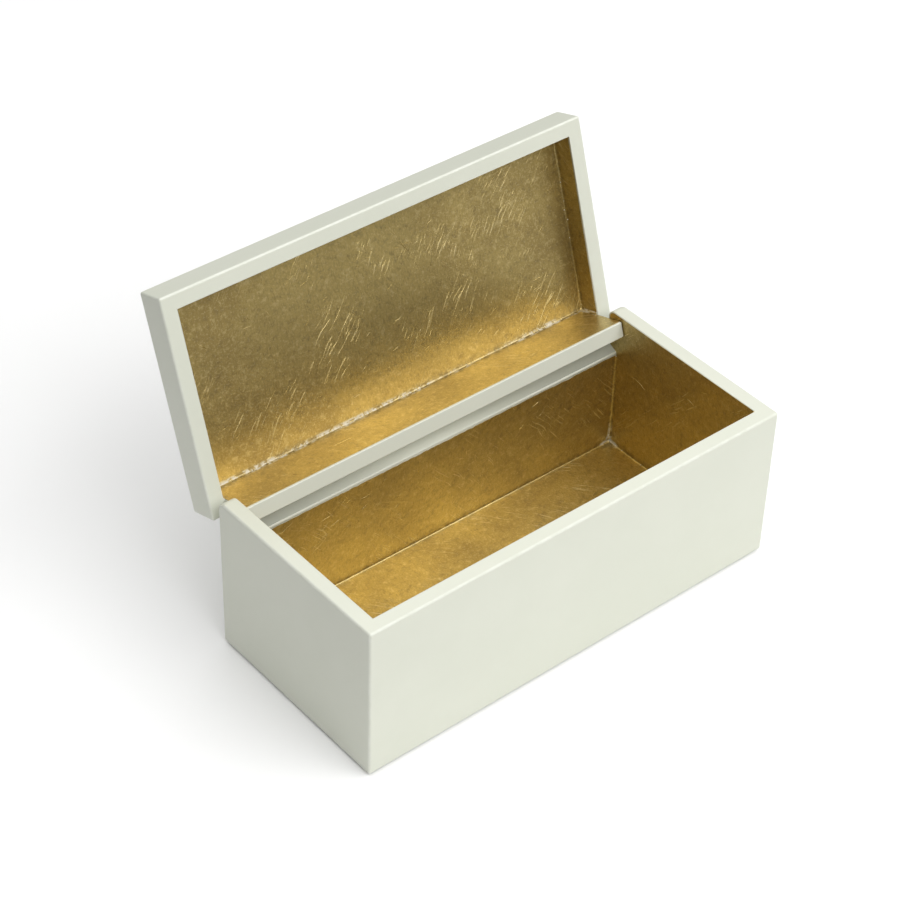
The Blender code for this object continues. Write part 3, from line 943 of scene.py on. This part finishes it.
def wrinkle_grower(count, length, width, material, seed):
    """Bent ridges that run with their neighbours and come in drifts."""
    values = {"Count": count, "Length": length, "Width": width, "Seed": seed}
    g = Grower("leaf_wrinkles", values)
    place = g.node("GeometryNodeInputPosition")
    drift = g.noise(place, 30, detail=2).rise(0.52, 0.66)
    density = g.given("Count") * drift
    scattered = {"Mesh": g.given("Surface"), "Density": density, "Seed": g.given("Seed")}
    points = g.node("GeometryNodeDistributePointsOnFaces", None, scattered)
    facing = g.other_output(points, "Rotation")
    storing = {"data_type": "FLOAT_VECTOR", "domain": "POINT"}
    kept = {"Geometry": points, "Name": "up", "Value": g.other_output(points, "Normal")}
    kept_points = g.node("GeometryNodeStoreNamedAttribute", storing, kept)
    ends = {"Start": (-0.5, 0, 0), "End": (0.5, 0, 0)}
    line = g.node("GeometryNodeCurvePrimitiveLine", None, ends)
    line = g.node("GeometryNodeResampleCurve", None, {"Curve": line, "Count": WRINKLE_POINTS})
    swerve = SWERVE * (g.noise(place, 14, detail=1) - 0.5)
    turn = swerve + g.random(0.50, 1.50, TURN_SEED)
    spin = g.node("FunctionNodeAxisAngleToRotation", None, {"Axis": (0, 0, 1), "Angle": turn})
    turning = {"rotation_space": "LOCAL"}
    spun = g.node("FunctionNodeRotateRotation", turning, {"Rotation": facing, "Rotate By": spin})
    size = g.random(0.25, 1.0, LENGTH_SEED) * g.given("Length")
    laid = {"Points": kept_points, "Instance": line, "Rotation": spun, "Scale": size}
    lines = g.node("GeometryNodeInstanceOnPoints", None, laid)
    lines = g.node("GeometryNodeRealizeInstances", None, {"Geometry": lines})
    bend = g.wander(place, 90, WRINKLE_BEND)
    up = g.kept_vector("up")
    lift = g.vector("DOT_PRODUCT", bend, up, output="Value")
    bend = g.vector("SUBTRACT", bend, g.scaled(up, lift))
    lines = g.node("GeometryNodeSetPosition", None, {"Geometry": lines, "Offset": bend})
    along = g.node("GeometryNodeSplineParameter")
    swell = 4 * (along * (1 - along))
    thick = 0.5 * (swell * g.given("Width")) + WRINKLE_TIP
    section = g.node("GeometryNodeCurvePrimitiveCircle", None, {"Resolution": 4, "Radius": 1.0})
    ridges = {"Curve": lines, "Profile Curve": section, "Scale": thick, "Fill Caps": True}
    g.done(g.node("GeometryNodeCurveToMesh", None, ridges), material)
    return g


def base_corners():
    """Lines along the base's inner corners."""
    ground = FLOOR_Z + CORNER_INSET
    return corner_lines("base_flecks", INNER_BACK_Y, ground, FRONT_LEAF_TOP, BACK_LEAF_TOP)


def lid_corners():
    """Lines along the lid's inner corners, with the lid shut."""
    ground = PANEL_LEAF_Z - CORNER_INSET
    return corner_lines("lid_flecks", RAIL_LOW.y, ground, LID_LEAF_LOW, LID_LEAF_LOW)


def corner_lines(name, back_y, ground, front_end, back_end):
    bm = bmesh.new()
    x, front = INNER_X - CORNER_INSET, INNER_FRONT_Y + CORNER_INSET
    back = back_y - CORNER_INSET
    places = [(-x, front, front_end), (x, front, front_end)]
    places += [(x, back, back_end), (-x, back, back_end)]
    feet = [bm.verts.new((across, deep, ground)) for across, deep, _ in places]
    ends = [bm.verts.new(place) for place in places]
    for index, foot in enumerate(feet):
        bm.edges.new((foot, feet[(index + 1) % 4]))
        bm.edges.new((foot, ends[index]))
    return new_object(name, bm)


def fleck_grower(settings, material, seed):
    """Small dried drops, in drifts along the corners."""
    values = {"Spacing": 1 / settings.fleck_count, "Size": settings.fleck_size, "Seed": seed}
    g = Grower("corner_flecks", values)
    lines = g.node("GeometryNodeMeshToCurve", None, {"Mesh": g.given("Surface")})
    spaced = {"Curve": lines, "Length": g.given("Spacing")}
    points = g.node("GeometryNodeCurveToPoints", {"mode": "LENGTH"}, spaced)
    place = g.node("GeometryNodeInputPosition")
    drift = g.noise(place, 60, detail=3).rise(0.40, 0.62)
    chosen = g.number("LESS_THAN", g.random(0.0, 1.0, g.given("Seed")), drift)
    jitter = g.random_vector((-FLECK_REACH,) * 3, (FLECK_REACH,) * 3, PLACE_SEED)
    moved = {"Geometry": points, "Offset": jitter}
    points = g.node("GeometryNodeSetPosition", None, moved)
    drop = g.node("GeometryNodeMeshIcoSphere", None, {"Radius": 1.0, "Subdivisions": 2})
    share = g.random_vector((0.25, 0.25, 0.25), (1.0, 1.0, 1.0), SIZE_SEED)
    size = g.scaled(share, g.given("Size"))
    laid = {"Points": points, "Selection": chosen, "Instance": drop, "Scale": size}
    g.done(g.node("GeometryNodeInstanceOnPoints", None, laid), material)
    return g


def grow_on(field, body, grower):
    """Grows a piece on its field and hangs it on a body; the lid's is then opened with the lid."""
    grower.grow(field)
    if body == "lid":
        open_lid(field)
    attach(field, body)


# ------------------------ felt pad and pins

FRAY_SHARE = 0.001
FRAY_SCALE = 900


def make_felt_pad(settings, material):
    """Thin felt glued under the base, with round corners and soft edges."""
    half = Vector((PAD_HIGH.x, PAD_HIGH.y))
    outline, _ = ring(-half, half, settings.corner, 0)
    foot = [(*point, PAD_LOW.z) for point in outline]
    bm = drawn_out(foot, (0, 0, PAD_HIGH.z - PAD_LOW.z))
    obj = new_object("felt_pad", bm, material)
    modifier = obj.modifiers.new("soft_edge", "BEVEL")
    modifier.width = settings.edge
    modifier.segments = 3
    modifier.limit_method = "ANGLE"
    as_plain_mesh(obj)
    for vertex in obj.data.vertices:
        frayed = 1 + FRAY_SHARE * noise.noise(vertex.co * FRAY_SCALE)
        vertex.co.x *= frayed
        vertex.co.y *= frayed
    for polygon in obj.data.polygons:
        polygon.use_smooth = True
    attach(obj, "base")
    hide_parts("base_felt_pad")


# ------------------------ stage


def make_floor(settings):
    bm = bmesh.new()
    bmesh.ops.create_circle(bm, cap_ends=True, segments=96, radius=settings.floor_radius)
    new_object("studio_floor", bm, floor_material(settings))


# Each softbox's place, the point that it faces, its size in metres and its power in watts
SOFTBOXES = {
    "key_softbox": ((0.32, -1.04, 1.13), (0, 0, 0.05), (1.7, 1.1), 15.8),
    "top_softbox": ((0.60, 0.15, 1.80), (0.60, 0.16, 0), (4.2, 5.0), 77),
    "left_softbox": ((-0.80, -0.94, 1.02), (0, 0, 0.05), (1.1, 0.8), 2.4),
}


def softbox(name, place, aim, size, power):
    light = bpy.data.lights.new(name, "AREA")
    light.shape = "RECTANGLE"
    light.size, light.size_y = size
    light.energy = power
    obj = bpy.data.objects.new(name, light)
    obj.location = place
    obj.rotation_euler = (Vector(aim) - Vector(place)).to_track_quat("-Z", "Y").to_euler()
    bpy.context.scene.collection.objects.link(obj)


def light_room(settings):
    world = bpy.data.worlds.new("studio_room")
    world.use_nodes = True
    background = world.node_tree.nodes["Background"]
    background.inputs["Color"].default_value = (1.0, 1.0, 1.0, 1.0)
    background.inputs["Strength"].default_value = settings.fill
    bpy.context.scene.world = world
    for name, placing in SOFTBOXES.items():
        softbox(name, *placing)
    bpy.context.scene.view_settings.view_transform = "Standard"


def place_camera(settings):
    azimuth, elevation = settings.azimuth, settings.elevation
    level = math.cos(elevation)
    back = Vector((math.sin(azimuth) * level, -math.cos(azimuth) * level, math.sin(elevation)))
    turn = back.to_track_quat("Z", "Y") @ Matrix.Rotation(settings.roll, 3, "Z").to_quaternion()
    lens = bpy.data.cameras.new("studio_camera")
    lens.lens = settings.lens
    lens.clip_start = 0.05
    camera = bpy.data.objects.new("studio_camera", lens)
    camera.location = Vector(settings.target) + back * settings.distance
    camera.rotation_euler = turn.to_euler()
    bpy.context.scene.collection.objects.link(camera)
    bpy.context.scene.camera = camera


# ------------------------ operators


class BuildLacquer(bpy.types.Operator):
    """Make the lacquered base and lid"""

    bl_idname = "gilded_box.lacquer"
    bl_label = "Lacquered Base and Lid"

    def execute(self, context):
        settings = context.scene.box_lacquer
        material = lacquer_material(settings)
        make_lacquered_base(settings, material)
        make_lacquered_lid(settings, material)
        return {"FINISHED"}


class BuildLeaf(bpy.types.Operator):
    """Line the base and the lid with metal leaf"""

    bl_idname = "gilded_box.leaf"
    bl_label = "Metal Leaf"

    def execute(self, context):
        settings = context.scene.box_leaf
        material = leaf_material(settings)
        make_base_leaf(settings, material)
        make_lid_leaf(settings, material)
        return {"FINISHED"}


class BuildWrinkles(bpy.types.Operator):
    """Raise the wrinkles in the leaf"""

    bl_idname = "gilded_box.wrinkles"
    bl_label = "Leaf Wrinkles"

    def execute(self, context):
        settings = context.scene.box_leaf
        material = wrinkle_material(settings)
        width = settings.wrinkle_width
        fields = {"base": base_field, "lid": lid_field}
        share = {"base": settings.base_share, "lid": 1.0}
        for body, field in fields.items():
            piece = field(f"{body}_leaf_wrinkles")
            count = share[body] * settings.wrinkle_count
            length = settings.wrinkle_length
            grower = wrinkle_grower(count, length, width, material, WRINKLE_SEEDS[body])
            grow_on(piece, body, grower)
        for body, field in fields.items():
            piece = field(f"{body}_leaf_cracks")
            count, length = settings.crack_count, settings.crack_length
            grower = wrinkle_grower(count, length, width, material, CRACK_SEEDS[body])
            grow_on(piece, body, grower)
        return {"FINISHED"}


class BuildFlecks(bpy.types.Operator):
    """Fleck the inner corners with dried size"""

    bl_idname = "gilded_box.flecks"
    bl_label = "Corner Flecks"

    def execute(self, context):
        settings = context.scene.box_leaf
        material = fleck_material(settings)
        for body, corners in (("base", base_corners), ("lid", lid_corners)):
            grow_on(corners(), body, fleck_grower(settings, material, FLECK_SEEDS[body]))
        return {"FINISHED"}


class BuildFittings(bpy.types.Operator):
    """Make the felt pad and finish the hinge pins"""

    bl_idname = "gilded_box.fittings"
    bl_label = "Felt Pad and Hinge Pins"

    def execute(self, context):
        settings = context.scene.box_felt
        make_felt_pad(settings, felt_material(settings))
        steel = steel_material()
        for side in ("left", "right"):
            pin = frame["nodes"][f"{side}_hinge_pin"]
            pin.data.materials.clear()
            pin.data.materials.append(steel)
        return {"FINISHED"}


class BuildStage(bpy.types.Operator):
    """Set up the floor, the lights and the camera"""

    bl_idname = "gilded_box.stage"
    bl_label = "Stage"

    def execute(self, context):
        settings = context.scene.box_stage
        make_floor(settings)
        light_room(settings)
        place_camera(settings)
        return {"FINISHED"}


OPERATORS = (BuildLacquer, BuildLeaf, BuildWrinkles, BuildFlecks, BuildFittings, BuildStage)
SETTINGS = {
    "box_lacquer": LacquerSettings, "box_leaf": LeafSettings,
    "box_felt": FeltSettings, "box_stage": StageSettings,
}


class BoxPanel(bpy.types.Panel):
    """Lists the pieces of the box and their settings"""

    bl_idname = "VIEW3D_PT_gilded_box"
    bl_label = "Gilded Box"
    bl_space_type = "VIEW_3D"
    bl_region_type = "UI"
    bl_category = "Gilded Box"

    def draw(self, context):
        for operator in OPERATORS:
            self.layout.operator(operator.bl_idname)
        for name, kind in SETTINGS.items():
            group = self.layout.box()
            for prop in kind.__annotations__:
                group.prop(getattr(context.scene, name), prop)


CLASSES = (*SETTINGS.values(), *OPERATORS, BoxPanel)


def register():
    for kind in CLASSES:
        bpy.utils.register_class(kind)
    for name, kind in SETTINGS.items():
        setattr(bpy.types.Scene, name, bpy.props.PointerProperty(type=kind))


def unregister():
    for name in SETTINGS:
        delattr(bpy.types.Scene, name)
    for kind in reversed(CLASSES):
        bpy.utils.unregister_class(kind)


def main():
    register()
    for operator in OPERATORS:
        group, name = operator.bl_idname.split(".")
        getattr(getattr(bpy.ops, group), name)()


if __name__ == "__main__":
    main()
